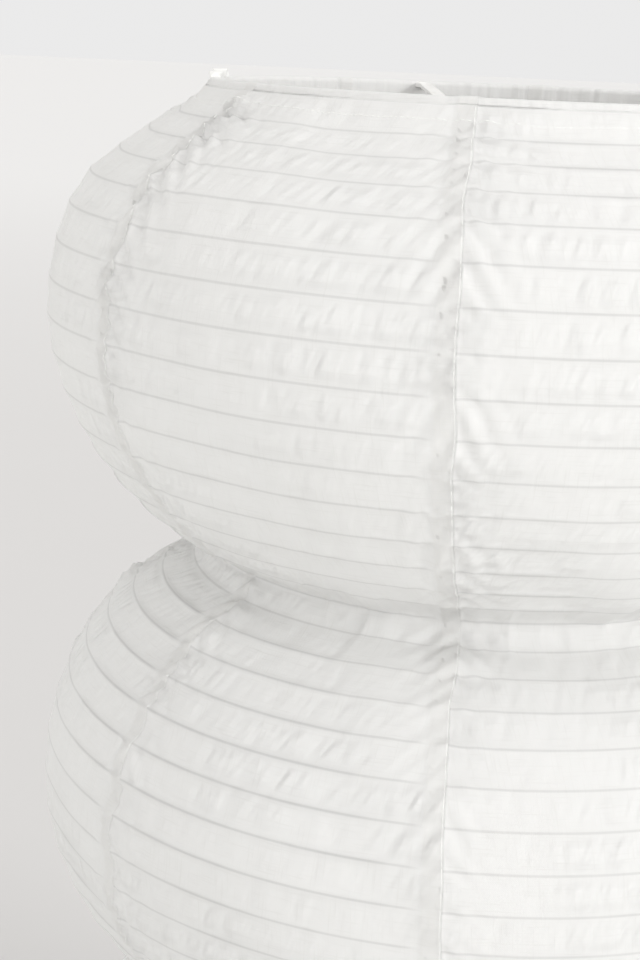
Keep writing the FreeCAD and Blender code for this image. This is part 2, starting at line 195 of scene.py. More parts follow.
# %% Make a piece and hand it to the frame
def piece(name, shells, material, body, nodes, bevel=0.0, closed=True):
    points = np.concatenate([shell[0] for shell in shells])
    starts = np.cumsum([0] + [len(shell[0]) for shell in shells])
    faces = [[v + int(s) for v in f] for (_, fs), s in zip(shells, starts) for f in fs]
    mesh = bpy.data.meshes.new(name)
    mesh.from_pydata(points.tolist(), [], faces)
    if closed:
        work = bmesh.new()
        work.from_mesh(mesh)
        bmesh.ops.remove_doubles(work, verts=work.verts, dist=1e-6)
        bmesh.ops.recalc_face_normals(work, faces=work.faces)
        work.to_mesh(mesh)
        work.free()
    mesh.polygons.foreach_set("use_smooth", [True] * len(mesh.polygons))
    if closed:
        mesh.set_sharp_from_angle(angle=math.radians(38))
    mesh.materials.append(material)
    made = bpy.data.objects.new(name, mesh)
    bpy.context.scene.collection.objects.link(made)
    if bevel:
        edge = made.modifiers.new("edge", "BEVEL")
        edge.width = bevel
        edge.segments = 2
        edge.limit_method = "ANGLE"
    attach(made, body)
    if nodes:
        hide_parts(*nodes)
    return made


# %% [markdown]
# ## Helpers for materials
#
# A shader is a small graph of nodes. `add` makes one node, sets its options, and fills each
# input with a number or with a link from another node.

# %% Build shader graphs
def add(tree, kind, inputs, **options):
    made = tree.nodes.new(kind)
    for name, value in options.items():
        setattr(made, name, value)
    for name, value in inputs.items():
        if isinstance(value, bpy.types.NodeSocket):
            tree.links.new(value, made.inputs[name])
        else:
            made.inputs[name].default_value = value
    return made


def calc(tree, operation, a, b=0.0):
    return add(tree, "ShaderNodeMath", {0: a, 1: b}, operation=operation).outputs[0]


def times(tree, value, factor):
    return calc(tree, "MULTIPLY", value, factor)


def blend(tree, share, a, b):
    """Colour a, going over to colour b as share goes from 0 to 1."""
    return add(tree, "ShaderNodeMix", {0: share, 6: a, 7: b}, data_type="RGBA").outputs[2]


def fade(tree, value, start, end):
    """0 up to start, 1 from end on, smooth between. With start above end it runs backwards."""
    inputs = {"Value": value, "From Min": start, "From Max": end}
    return add(tree, "ShaderNodeMapRange", inputs, interpolation_type="SMOOTHSTEP").outputs[0]


def bump(tree, height_mm):
    """A normal from a height in millimetres."""
    inputs = {"Height": height_mm, "Strength": 1.0, "Distance": mm}
    return add(tree, "ShaderNodeBump", inputs).outputs[0]


def new_material(name):
    made = bpy.data.materials.new(name)
    made.use_nodes = True
    tree = made.node_tree
    return made, tree, tree.nodes["Principled BSDF"]


def fill(tree, shader, inputs):
    """Set or link inputs of the Principled shader."""
    for name, value in inputs.items():
        if isinstance(value, bpy.types.NodeSocket):
            tree.links.new(value, shader.inputs[name])
        else:
            shader.inputs[name].default_value = value


# %% [markdown]
# Three effects come back in several materials, so each is a node group with named inputs and
# outputs. *Grain* is the fine unevenness of paint, plastic and rubber. *Dust* settles on what
# faces up. *Weave* has threads that cross, and slubs, the thicker places in a spun thread.

# %% Shared effects
def new_group(name, inputs, outputs):
    tree = bpy.data.node_groups.new(name, "ShaderNodeTree")
    for label, kind in inputs:
        tree.interface.new_socket(label, in_out="INPUT", socket_type=kind)
    for label in outputs:
        tree.interface.new_socket(label, in_out="OUTPUT", socket_type="NodeSocketFloat")
    return tree, tree.nodes.new("NodeGroupInput"), tree.nodes.new("NodeGroupOutput")


def noise(tree, place, scale, detail=3.0):
    inputs = {"Vector": place, "Scale": scale, "Detail": detail}
    return add(tree, "ShaderNodeTexNoise", inputs).outputs[0]


PLACE_AND_SCALE = [("Place", "NodeSocketVector"), ("Per metre", "NodeSocketFloat")]

grain, source, result = new_group("Grain", PLACE_AND_SCALE, ["Height", "Tone"])
fine = noise(grain, source.outputs[0], source.outputs[1])
coarse = noise(grain, source.outputs[0], calc(grain, "DIVIDE", source.outputs[1], 22.0))
grain.links.new(fine, result.inputs[0])
grain.links.new(coarse, result.inputs[1])

dust, source, result = new_group("Dust", PLACE_AND_SCALE, ["Mask"])
surface = add(dust, "ShaderNodeNewGeometry", {})
facing = add(dust, "ShaderNodeSeparateXYZ", {0: surface.outputs["Normal"]})
level = fade(dust, facing.outputs[2], 0.5, 0.95)
patches = fade(dust, noise(dust, source.outputs[0], source.outputs[1]), 0.35, 0.7)
dust.links.new(times(dust, level, patches), result.inputs[0])

weave, source, result = new_group("Weave", PLACE_AND_SCALE, ["Threads", "Slubs"])
turn = add(weave, "ShaderNodeVectorMath", {0: source.outputs[0]}, operation="SCALE")
weave.links.new(times(weave, source.outputs[1], math.pi), turn.inputs["Scale"])
part = add(weave, "ShaderNodeSeparateXYZ", {0: turn.outputs[0]})
waves = [calc(weave, "SINE", part.outputs[i]) for i in (0, 1)]
weave.links.new(times(weave, waves[0], waves[1]), result.inputs[0])
slubs = []
for stretch in ((40.0, 900.0, 1.0), (900.0, 40.0, 1.0)):
    inputs = {0: source.outputs[0], 1: stretch}
    place = add(weave, "ShaderNodeVectorMath", inputs, operation="MULTIPLY").outputs[0]
    slubs.append(fade(weave, noise(weave, place, 1.0, 1.0), 0.52, 0.8))
weave.links.new(calc(weave, "MAXIMUM", slubs[0], slubs[1]), result.inputs[1])


def effect(tree, group, place, per_metre):
    """Place a shared effect in a material."""
    made = tree.nodes.new("ShaderNodeGroup")
    made.node_tree = group
    tree.links.new(place, made.inputs[0])
    made.inputs[1].default_value = per_metre
    return made.outputs


# %% [markdown]
# ## The cloth
#
# The skin is thin white cotton. It scatters light, and lets part of it through, so a
# Translucent shader is mixed in. Three numbers are stored at each point of the mesh and read
# here: `rib` counts the hoops, so that a whole number is a hoop, `from_edge` is the distance
# to the panel's own right-hand seam, and the UV map is the panel laid flat, in metres, with the
# eight panels side by side, a metre apart. Left of each seam the allowances lie under the
# cloth, and there the colour is painted darker: painted shade for the light that the double
# layer holds back. The shadows of the wires are painted on as thin dark lines. The finest folds
# are only a change of the surface's direction: a noise that is drawn out from hoop to hoop,
# stronger in patches.

# %% The cloth's finish
cloth, tree, shader = new_material("lantern_cloth")
flat_place = add(tree, "ShaderNodeUVMap", {}, uv_map="flat").outputs[0]
rib_count = add(tree, "ShaderNodeAttribute", {}, attribute_name="rib").outputs["Fac"]
from_edge = add(tree, "ShaderNodeAttribute", {}, attribute_name="from_edge").outputs["Fac"]

off_rib = calc(tree, "ABSOLUTE", calc(tree, "SUBTRACT", calc(tree, "FRACT", calc(
    tree, "ADD", rib_count, 0.5)), 0.5))
single = fade(tree, from_edge, 9 * mm, 24 * mm)
# painted shadow of the hoop wires: thin dark lines at whole ribs, faded out near the seam where the
# cloth is double
painted_wire_shadow = times(tree, fade(tree, off_rib, 0.045, 0.012), single)
# the allowance band left of each seam, where painted shade darkens the cloth
allowance_shade_mask = fade(tree, from_edge, 12.5 * mm, 10.5 * mm)
threads, slub = effect(tree, weave, flat_place, 1500.0)
crumple, tone = effect(tree, grain, flat_place, 260.0)

bleached, creamy = (0.96, 0.96, 0.955, 1), (0.92, 0.918, 0.908, 1)
white = blend(tree, times(tree, tone, 0.5), bleached, creamy)
# slubs are the yarn's own tone; the allowance share is painted shade and the wire share is a
# painted shadow of the hoops
slub_tint, allowance_shade_share, wire_shadow_share = 0.22, 0.25, 0.24   # how far each darkens the cloth
white = blend(tree, times(tree, slub, slub_tint), white, (0.8, 0.795, 0.775, 1))
# painted shade over the allowances
white = blend(tree, times(tree, allowance_shade_mask, allowance_shade_share), white, (0.9, 0.893, 0.872, 1))
# painted shadows of the wires, darkening the cloth's colour in thin lines
white = blend(tree, times(tree, painted_wire_shadow, wire_shadow_share), white, (0.5, 0.5, 0.49, 1))
split = add(tree, "ShaderNodeSeparateXYZ", {0: flat_place})
across = times(tree, split.outputs[0], 150.0)
leaning = calc(tree, "SUBTRACT", across, times(tree, rib_count, 1.3))
fold_place = add(tree, "ShaderNodeCombineXYZ", {0: leaning, 1: rib_count}).outputs[0]
wrinkle = noise(tree, fold_place, 1.0, 0.5)
patch = fade(tree, noise(tree, flat_place, 8.0, 1.0), 0.38, 0.62)
strength = calc(tree, "ADD", 0.25, times(tree, patch, 0.75))
between_hoops = fade(tree, off_rib, 0.0, 0.4)
wrinkle = times(tree, times(tree, wrinkle, strength), between_hoops)
wrinkle_mm, let_through = 3.2, 0.34
height = times(tree, wrinkle, wrinkle_mm)
for layer, layer_mm in ((threads, 0.03), (slub, 0.05), (crumple, 0.22)):
    height = calc(tree, "ADD", height, times(tree, layer, layer_mm))
relief_normal = bump(tree, height)
fill(tree, shader, {"Base Color": white, "Roughness": 0.88, "Specular IOR Level": 0.2,
                    "Sheen Weight": 0.1, "Normal": relief_normal})
through = add(tree, "ShaderNodeBsdfTranslucent", {"Color": white, "Normal": relief_normal})
shaders = {0: let_through, 1: shader.outputs[0], 2: through.outputs[0]}
both = add(tree, "ShaderNodeMixShader", shaders)
tree.links.new(both.outputs[0], tree.nodes["Material Output"].inputs["Surface"])

# %% [markdown]
# The sewing thread is a little brighter and shinier than the cloth, which makes the seams show
# as fine white lines.

# %% The thread's finish
thread, tree, shader = new_material("sewing_thread")
place = add(tree, "ShaderNodeTexCoord", {}).outputs["Object"]
twist_h, twist_tone = effect(tree, grain, place, 2600.0)
colour = blend(tree, twist_tone, (0.95, 0.95, 0.94, 1), (0.88, 0.88, 0.86, 1))
fill(tree, shader, {"Base Color": colour, "Roughness": 0.55, "Sheen Weight": 0.2,
                    "Normal": bump(tree, times(tree, twist_h, 0.06))})

# %% [markdown]
# ## The hard finishes
#
# Powder paint has a soft orange-peel surface. Zinc plate shows patches of crystals. Moulded
# plastic is smooth with a fine grain, the bulb's cap is brushed nickel, and the glass is
# frosted, so that it scatters the light that goes through it.

# %% Paint, zinc, plastic, rubber and glass
def coated(name, colour, dusty, rough, per_metre, peel_mm, dust_share):
    made, tree, shader = new_material(name)
    place = add(tree, "ShaderNodeTexCoord", {}).outputs["Object"]
    peel, tone = effect(tree, grain, place, per_metre)
    settled = effect(tree, dust, place, 70.0)[0]
    base = blend(tree, times(tree, settled, dust_share), colour, dusty)
    level = calc(tree, "ADD", times(tree, tone, 0.16), rough - 0.08)
    fill(tree, shader, {"Base Color": base, "Roughness": level,
                        "Normal": bump(tree, times(tree, peel, peel_mm))})
    return made


def plated(name, light, dark, rough, per_metre):
    made, tree, shader = new_material(name)
    place = add(tree, "ShaderNodeTexCoord", {}).outputs["Object"]
    crystal = add(tree, "ShaderNodeTexVoronoi", {"Vector": place, "Scale": per_metre})
    share = fade(tree, crystal.outputs["Color"], 0.2, 0.8)
    scratch, tone = effect(tree, grain, place, 1800.0)
    level = calc(tree, "ADD", times(tree, tone, 0.2), rough - 0.1)
    fill(tree, shader, {"Base Color": blend(tree, share, light, dark), "Metallic": 1.0,
                        "Roughness": level,
                        "Normal": bump(tree, times(tree, scratch, 0.012))})
    return made


paint = coated("white_paint", (0.84, 0.84, 0.825, 1), (0.6, 0.585, 0.55, 1),
               rough=0.42, per_metre=700.0, peel_mm=0.09, dust_share=0.4)
plastic = coated("holder_plastic", (0.8, 0.79, 0.76, 1), (0.6, 0.59, 0.56, 1),
                 rough=0.34, per_metre=1500.0, peel_mm=0.02, dust_share=0.3)
rubber = coated("pad_rubber", (0.035, 0.035, 0.037, 1), (0.2, 0.19, 0.18, 1),
                rough=0.75, per_metre=1200.0, peel_mm=0.05, dust_share=0.5)
zinc = plated("zinc_plate", (0.66, 0.67, 0.69, 1), (0.52, 0.53, 0.56, 1),
              rough=0.36, per_metre=420.0)
steel_wire = plated("hoop_wire", (0.5, 0.5, 0.51, 1), (0.4, 0.4, 0.41, 1),
                    rough=0.42, per_metre=900.0)
nickel = plated("cap_metal", (0.76, 0.73, 0.67, 1), (0.66, 0.63, 0.57, 1),
                rough=0.3, per_metre=700.0)

glass, tree, shader = new_material("frosted_glass")
place = add(tree, "ShaderNodeTexCoord", {}).outputs["Object"]
frost, tone = effect(tree, grain, place, 2200.0)
fill(tree, shader, {"Base Color": blend(tree, tone, (0.93, 0.93, 0.92, 1), (0.88, 0.88, 0.86, 1)),
                    "Transmission Weight": 0.55, "IOR": 1.46, "Roughness": 0.5,
                    "Normal": bump(tree, times(tree, frost, 0.03))})
print("finishes:", ", ".join(sorted(m.name for m in bpy.data.materials)))

# %% [markdown]
# ## The lantern's profile
#
# Every bulge is two arcs that meet at its widest line: a crown above and a belly below. The
# hoops sit on them at equal steps, and the lowest band takes what is left, as it is longer in
# the photograph. The crown of a worn lantern sinks a little: the cloth slackens and the hoops
# settle, most of all next to the rim, where the rim ring holds the cloth up.

# %% Where the hoops are
belly_r = (belly_h ** 2 + (bulge_r - waist_r) ** 2) / (2 * (bulge_r - waist_r))
crown_r = (crown_h ** 2 + (bulge_r - rim_r) ** 2) / (2 * (bulge_r - rim_r))
belly_step = math.radians(7.35)       # along the belly's arc, from one hoop to the next
crown_step = math.asin(crown_h / crown_r) / (bands / 2 - 1)
crown_sink = 5 * mm             # in the two lower bulges
top_sink, rim_sink = 2 * mm, 8 * mm   # in the top bulge, and the rest of it next to the rim


def smooth(x):
    """0 below 0, 1 above 1, and the smooth step 3 x^2 - 2 x^3 between."""
    x = np.clip(x, 0, 1)
    return x * x * (3 - 2 * x)


def hoop_place(count):
    """Radius and height of the cloth at a hoop, counted from the foot ring up."""
    index, rib = divmod(count, bands)
    if count == last_rib:
        return rim_r, rim_z
    if rib == 0:
        return waist_r, foot_z + index * bulge_h
    steps = rib - bands / 2
    arc_r, angle = (belly_r, steps * belly_step) if steps < 0 else (crown_r, steps * crown_step)
    sink = crown_sink * math.sin(math.pi * min(max(rib - 6.5, 0) / 10.5, 1))
    if index == bulges - 1:
        sink = top_sink * float(smooth((rib - 7) / 3))
        sink += rim_sink * float(smooth((rib - 11.4) / 2.4))
    reach = arc_r - sink
    r = bulge_r - arc_r + reach * math.cos(angle)
    return r, foot_z + index * bulge_h + belly_h + reach * math.sin(angle)


hoop_places = np.array([hoop_place(count) for count in range(last_rib + 1)])
print("hoops and rings:", len(hoop_places), "widest radius %.4f m" % hoop_places[:, 0].max())

# %% [markdown]
# The profile of the skin has rows of points. Each band between two hoops has six of them, and
# the cloth runs straight from hoop to hoop. At both ends it turns round the heavy ring and
# ends in a hem inside.

# %% Rows of the skin
row_steps = np.array([0.0, 0.1, 0.3, 0.5, 0.7, 0.9])
hem_tail = 9 * mm
bend = np.radians(np.arange(0, 180, 24))

starts, ends = hoop_places[:-1, None], hoop_places[1:, None]
between = (starts + (ends - starts) * row_steps[None, :, None]).reshape(-1, 2)
rib_at = (np.arange(last_rib)[:, None] + row_steps).reshape(-1)


def hem(ring_r, ring_z, first, up):
    """The cloth round a heavy ring: half a circle, and a straight tail inside the ring."""
    angle = first + bend
    half = np.stack([ring_r + hem_r * np.cos(angle), ring_z + hem_r * np.sin(angle)], axis=-1)
    down = np.linspace(1, 0, 4)[:3, None] * hem_tail
    tail = np.array([[ring_r - hem_r, ring_z]]) - up * down * np.array([[0, 1]])
    return half, tail


half, tail = hem(foot_ring_r, foot_z, math.pi, -1)
foot_hem = np.concatenate([tail, half])
half, tail = hem(rim_ring_r, rim_z, 0.0, 1)
rim_hem = np.concatenate([half, [[rim_ring_r - hem_r, rim_z]], tail[::-1]])
profile = np.concatenate([foot_hem, between, rim_hem])
row_r, row_z = profile[:, 0:1], profile[:, 1:2]
below, above = np.full(len(foot_hem), -0.5), np.full(len(rim_hem), last_rib + 0.5)
row_rib = np.concatenate([below, rib_at, above])[:, None]
along = np.diff(profile, axis=0, prepend=profile[:1])
row_length = np.cumsum(np.hypot(along[:, 0], along[:, 1]))[:, None]
slope = np.gradient(profile, axis=0)
slope /= np.linalg.norm(slope, axis=1, keepdims=True)
out_r, out_z = slope[:, 1:2], -slope[:, 0:1]
print("a panel is cut %.3f m long" % row_length[-1, 0])

# %% [markdown]
# ## Folds in the skin
#
# Stretched cloth is never smooth. Each kind of fold in the photograph has its own term:
#
# - *draw*: between two hoops the cloth is drawn in a little, like a soap film;
# - *gathers*: folds about 2 cm apart that run from hoop to hoop, leaning to the right;
# - *slack*: broad soft hollows, a hand wide;
# - *herringbone*: pull folds that fan out of a seam and run down, about 15 mm apart;
# - *puffs*: next to a seam, a band balloons out or falls in between its two hoops;
# - *ridge*: the cloth is lifted where the seam's allowances lie under it;
# - *pinch*: gathers at the waists and at the rim, where the cloth has more width than it needs.

# %% Random hills
def hills(u, v, around, seed):
    """Smooth random values between -1 and 1.

    There is one random value at each whole u, v. Between them the four nearest are mixed with
    the smooth step. u repeats after `around`, so that the pattern closes round the lantern.
    """
    tall = 211
    table = np.random.default_rng(seed).uniform(-1, 1, (around, tall))
    i, j = np.floor(u).astype(int), np.floor(v).astype(int)
    a, b = smooth(u - i), smooth(v - j)
    near = table[i % around, j % tall] * (1 - a) + table[(i + 1) % around, j % tall] * a
    j = j + 1
    far = table[i % around, j % tall] * (1 - a) + table[(i + 1) % around, j % tall] * a
    return near * (1 - b) + far * b


def bell(x, width):
    """1 at 0, falling to 0 over about twice the width: exp(-(x / width)^2)."""
    return np.exp(-(x / width) ** 2)


def creased(x):
    """Hills with sharper tops: half the hill itself, and half 0.5 - 2 |x|, a ridge along x = 0."""
    return 0.5 * x + 0.5 * (0.5 - 2 * np.abs(x))


# %% The height of the folds
panel_angle = 2 * math.pi / seams
allowance_w = 11 * mm


def folds(turn, rib, length, left, right):
    """How far the cloth stands out of its smooth form, in metres, as the sum of the terms above.

    turn counts seams round the lantern, rib counts hoops, length runs up the cloth, and left
    and right are the distances to the seams on either side. At a hoop the wire holds the cloth
    out, so there the sum goes no lower than 0.4 mm inwards, and midway no lower than 4.9 mm.
    """
    step = rib - np.floor(rib)
    middle = 4 * step * (1 - step)
    near = np.minimum(left, right)
    seam = np.round(turn)
    crown = smooth((rib % bands - 7) / 4)
    lively = 0.5 + 0.5 * hills(turn * 3, rib * 0.16, 3 * seams, 11)

    draw = -0.6 * mm * middle
    fine = hills(turn * 22 - 0.9 * rib, rib * 0.9, 22 * seams, 12)
    gathers = 1.5 * mm * creased(fine) * np.sqrt(middle) * (0.2 + lively)
    slack = 2.6 * mm * hills(turn * 4 + 0.22 * rib, rib * 0.14, 4 * seams, 13)
    wave = (length + 0.9 * near) / (15 * mm) + 1.2 * hills(seam, length / (45 * mm), seams, 14)
    vigour = 0.25 + 0.75 * (0.5 + 0.5 * hills(seam, rib * 0.23, seams, 15)) * (0.4 + 0.6 * crown)
    herringbone = 2.6 * mm * np.cos(2 * math.pi * wave) * bell(near, 24 * mm) * vigour
    random_band = hills(seam, np.floor(rib), seams, 16) + 0.25
    puffs = 4.0 * mm * random_band * middle * bell(near, 17 * mm) * (0.35 + 0.65 * crown)
    under = smooth((allowance_w - right) / (2 * mm) + 1)
    ridge = 0.5 * mm * np.maximum(under, bell(left, 1.2 * mm))
    to_waist = np.abs((rib + bands / 2) % bands - bands / 2) * 24 * mm
    tight = bell(to_waist, 30 * mm) * (1 - 0.8 * bell(to_waist, 3 * mm))
    pinch = 2.8 * mm * creased(hills(turn * 17, rib * 0.35, 17 * seams, 17)) * tight
    held = smooth(rib / 0.7) * smooth((last_rib - rib) / 0.7)
    out = (draw + gathers + slack + herringbone + puffs + pinch) * held
    return np.maximum(out, -0.4 * mm - 4.5 * mm * middle) + ridge


# %% [markdown]
# The seams lean: the lantern is twisted by some seven degrees from foot to rim, as the
# photograph shows. Near a seam the cloth also wanders to and fro from band to band.

# %% Points of the skin
first_seam = math.radians(22.5)
twist = math.radians(-4.1) / 0.6      # radians for each metre of height
twist_from = 0.694


def skin(turn, depth):
    """Points of the cloth for rows by columns of `turn`, at a depth inside the outer face.

    The seams stand at whole turns. The polar angle is the first seam's, plus the turn's share
    of the circle, plus the twist at that height, plus the seam's wander.
    """
    base = np.floor(turn)
    left = (turn - base) * panel_angle * row_r
    right = (base + 1 - turn) * panel_angle * row_r
    rib = row_rib + 0 * turn
    length = row_length + 0 * turn
    sway = 1.6 * mm * hills(np.round(turn), rib * 0.9, seams, 18)
    sway = sway * bell(np.minimum(left, right), 24 * mm)
    polar = first_seam + turn * panel_angle + twist * (row_z - twist_from) + sway / row_r
    out = folds(turn, rib, length, left, right) - depth
    r = row_r + out_r * out
    return np.stack([r * np.cos(polar), r * np.sin(polar), row_z + out_z * out], axis=-1)


# %% [markdown]
# ## The eight panels
#
# A panel is wider than what shows. Its left edge goes on under the neighbour, and its right
# edge turns back on itself, so both allowances lie to the left of the seam. Each column has its
# depth inside the outer face: none where the cloth shows, up to 0.9 mm in the allowances. The
# Solidify modifier gives the cloth its thickness, inwards. The size each panel was cut to is
# worked out, and the last panel's is printed with its area.

# %% Cut and hang the panels
cloth_t = 0.3 * mm
columns = np.linspace(0, 1, 121)
columns = 0.55 * columns + 0.45 * (1 - np.cos(math.pi * columns)) / 2   # closer near the seams
left_edge = np.array([-5.0, -3.5, -2.0, -0.6]) * mm
right_edge = np.array([0.0, -0.4, -3.5, -7.0, -10.5]) * mm
share = np.concatenate([0 * left_edge, columns, 1 + 0 * right_edge])[None, :]
sideways = np.concatenate([left_edge, 0 * columns, right_edge])[None, :]
depth = np.concatenate([[0.9, 0.9, 0.9, 0.8], 0 * columns, [0.35, 0.75, 0.75, 0.75, 0.75]]) * mm


def area_of(points):
    """Area of a grid: half the cross product of each quad's diagonals, summed."""
    one = points[1:, 1:] - points[:-1, :-1]
    two = points[1:, :-1] - points[:-1, 1:]
    return float(np.linalg.norm(np.cross(one, two), axis=-1).sum() / 2)


def panel(index):
    """One panel: rows up the profile, columns from its left allowance to its right one."""
    turn = index + share + sideways / (panel_angle * row_r)
    points = skin(turn, depth[None, :])
    made = piece("panel_%d" % (index + 1), [grid(points)], cloth, "shade",
                 ["cloth_gore_%d" % (index + 1)], closed=False)
    mesh = made.data
    from_edge = (index + 1 - turn) * panel_angle * row_r
    for name, values in (("rib", row_rib + 0 * turn), ("from_edge", from_edge)):
        layer = mesh.attributes.new(name, "FLOAT", "POINT")
        layer.data.foreach_set("value", values.astype(np.float32).ravel())
    across = (turn - index - 0.5) * panel_angle * row_r + index
    flat_points = np.stack([across, row_length + 0 * turn], axis=-1).reshape(-1, 2)
    corners = np.empty(len(mesh.loops), dtype=np.int32)
    mesh.loops.foreach_get("vertex_index", corners)
    flat_map = mesh.uv_layers.new(name="flat")
    flat_map.data.foreach_set("uv", flat_points[corners].astype(np.float32).ravel())
    thick = made.modifiers.new("thickness", "SOLIDIFY")
    thick.thickness = cloth_t
    thick.offset = -1
    cut_w = panel_angle * row_r.max() + 2 * allowance_w
    cut = (float(cut_w), float(row_length[-1, 0]))
    return area_of(points), cut


# %% [markdown]
# The wires go in before the panels. Each hoop is a thin wire just inside the cloth. The two
# waist hoops and the two rings are heavier.

# %% Hoops and rings
hoop_wire_r = 0.6 * mm
waist_wire_r = 1.1 * mm
hoop_depth = 2.0 * mm
waist_depth = 2.5 * mm

rows_per_band = len(row_steps)
rib_rows = len(foot_hem) + np.arange(last_rib) * rows_per_band


def hoop_ring(count, wire_r, inside):
    """A wire ring under the cloth of one hoop, this far inside along the skin's normal."""
    row = rib_rows[count]
    r = row_r[row, 0] - inside * out_r[row, 0]
    return wire_ring(float(r), float(row_z[row, 0] - inside * out_z[row, 0]), wire_r)


for index, name in enumerate(("bottom", "middle", "top")):
    counts = [index * bands + rib for rib in range(1, bands) if index * bands + rib < last_rib]
    wires = [hoop_ring(count, hoop_wire_r, hoop_depth) for count in counts]
    piece("hoop_wires_" + name, wires, steel_wire, "shade",
          ["hoops_%s_bulge" % name])
waists = [hoop_ring(bands * i, waist_wire_r, waist_depth) for i in (1, 2)]
piece("waist_wires", waists, steel_wire, "shade", ["waist_hoops"])
piece("rim_wire", [wire_ring(rim_ring_r, rim_z, ring_wire_r, 192, 16)], paint, "shade",
      ["rim_ring"])
piece("foot_wire", [wire_ring(foot_ring_r, foot_z, ring_wire_r, 192, 16)], paint, "shade",
      ["foot_ring"])

for index in range(seams):
    area, cut = panel(index)
print("a panel is cut %.3f by %.3f m, %.3f m2" % (cut[0], cut[1], area))

# %% [markdown]
# ## Stitches
#
# The seams are sewn with a running stitch about 3.6 mm long, and so are the hems. A stitch is
# a tiny spindle that lies on the cloth. All of them are made at once: numpy sets one spindle
# at each place along the line.

# %% Sew the seams and the hems
stitch_step = 3.6 * mm
stitch_half = 1.35 * mm
stitch_r = 0.32 * mm


def stitches(places, along, out):
    """Spindles at (n, 3) places, lying along one direction on a surface that faces `out`.

    A point of a spindle is its place + along * h cos p + (out cos q + side sin q) * r sin p,
    where p runs from one tip to the other and q runs round.
    """
    side = np.cross(along, out)
    p = np.linspace(0, math.pi, 5)[None, :, None, None]
    q = (np.arange(5) * 2 * math.pi / 5)[None, None, :, None]
    lie = places[:, None, None] + along[:, None, None] * stitch_half * np.cos(p)
    ring = out[:, None, None] * np.cos(q) + side[:, None, None] * np.sin(q)
    points = lie + ring * stitch_r * np.sin(p)
    shells = [grid(one, close_cols=True) for one in points]
    return shells


def unit(vectors):
    return vectors / np.linalg.norm(vectors, axis=-1, keepdims=True)


def along_line(line, step):
    """Places at equal steps along a line of points, and the line's direction there."""
    pieces = np.linalg.norm(np.diff(line, axis=0), axis=1)
    length = np.concatenate([[0], np.cumsum(pieces)])
    at = np.arange(step, length[-1], step)
    ahead = at + step / 4
    place = np.stack([np.interp(at, length, line[:, k]) for k in range(3)], axis=-1)
    next_place = np.stack([np.interp(ahead, length, line[:, k]) for k in range(3)], axis=-1)
    return place, unit(next_place - place)


def outwards(places, along):
    """Across the line and away from the lamp's axis."""
    away = unit(places * np.array([1.0, 1.0, 0.0]))
    return unit(away - along * (away * along).sum(axis=-1, keepdims=True))


seam_shells = []
shown = slice(len(foot_hem), len(foot_hem) + len(between))
for index in range(seams):
    edge = skin(index + 0 * row_r - 0.9 * mm / (panel_angle * row_r), 0.0)[shown, 0]
    place, along_seam = along_line(edge, stitch_step)
    seam_shells += stitches(place, along_seam, outwards(place, along_seam))
piece("seam_stitches", seam_shells, thread, "shade", [])

hem_shells = []
around = np.linspace(0, seams, 721)[None, :]
for row in (len(foot_hem) + 2, len(foot_hem) + len(between) - 3):
    line = skin(around + 0 * row_r, 0.0)[row]
    place, along_hem = along_line(line, stitch_step)
    hem_shells += stitches(place, along_hem, outwards(place, along_hem))
piece("hem_stitches", hem_shells, thread, "shade", [])
print("stitches:", len(seam_shells) + len(hem_shells))

# %% [markdown]
# ## The tuft at the rim
#
# At the top of one seam, at the back on the left, the ends of the allowances stick up out of
# the hem in a crumpled tuft. It is a short strip of cloth in narrow folds.

# %% The ends of a seam
tuft_seam = 3
tuft_w, tuft_h = 60 * mm, 11 * mm
pleats = 4.5


def tuft():
    """A strip in pleats: it swings in and out as a sine along its width, more at its top."""
    u = np.linspace(-0.5, 0.5, 60)[None, :]
    v = np.linspace(0, 1, 12)[:, None]
    swing = np.sin(2 * math.pi * pleats * u + 1.3 * v) * (1.6 + 3.2 * v) * mm
    swing = swing + 0.9 * mm * hills(9 * u + 20, 3 * v, 64, 21)
    sag = 1.6 * mm * hills(7 * u + 20, 2 * v, 64, 22) * v
    polar = first_seam + tuft_seam * panel_angle + twist * (rim_z - twist_from)
    polar = polar + u * 0.5 * tuft_w / rim_r
    r = rim_ring_r + 0.8 * mm + swing
    z = rim_z + hem_r - 5.5 * mm + v * tuft_h * (1 - 0.5 * np.abs(u)) + sag
    return np.stack([r * np.cos(polar), r * np.sin(polar), z], axis=-1)


tuft_points = tuft()
tuft_cloth = piece("seam_tuft", [grid(tuft_points)], thread, "shade", [],
                   closed=False)
thick = tuft_cloth.modifiers.new("thickness", "SOLIDIFY")
thick.thickness = cloth_t

# %% [markdown]
# ## The spider
#
# Four arms of flat steel hang the rim ring on a square hub, and the hub sits on the pole. The
# arms are cut from the side view of one arm, then turned round the axis. Where steel meets
# steel there is a small weld bead.

# %% Arms, hub and welds
hub_low, hub_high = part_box("spider_hub")
hub_z = (hub_low[2] + hub_high[2]) / 2
hub_half = hub_high[0]
arm_half_t = 1.5 * mm
arm_half_w = 5 * mm
ring_face = rim_ring_r - ring_wire_r
knee = ring_face - 13.5 * mm
arm_slope = math.atan2(rim_z - hub_z, knee - hub_half)
shift = arm_half_t * math.tan(arm_slope / 2)
side_view = [(hub_half, hub_z + arm_half_t), (knee - shift, rim_z + arm_half_t),
             (ring_face, rim_z + arm_half_t), (ring_face, rim_z - arm_half_t),
             (knee + shift, rim_z - arm_half_t), (hub_half, hub_z - arm_half_t)]
one_arm = slab([(x, -arm_half_w, z) for x, z in side_view], (0, 2 * arm_half_w, 0))
quarter_turns = [Matrix.Rotation(math.pi / 2 * i, 4, "Z") for i in range(4)]
piece("spider_arm_bars", [moved(one_arm, turn) for turn in quarter_turns], paint, "shade",
      ["spider_arms"], bevel=0.4 * mm)


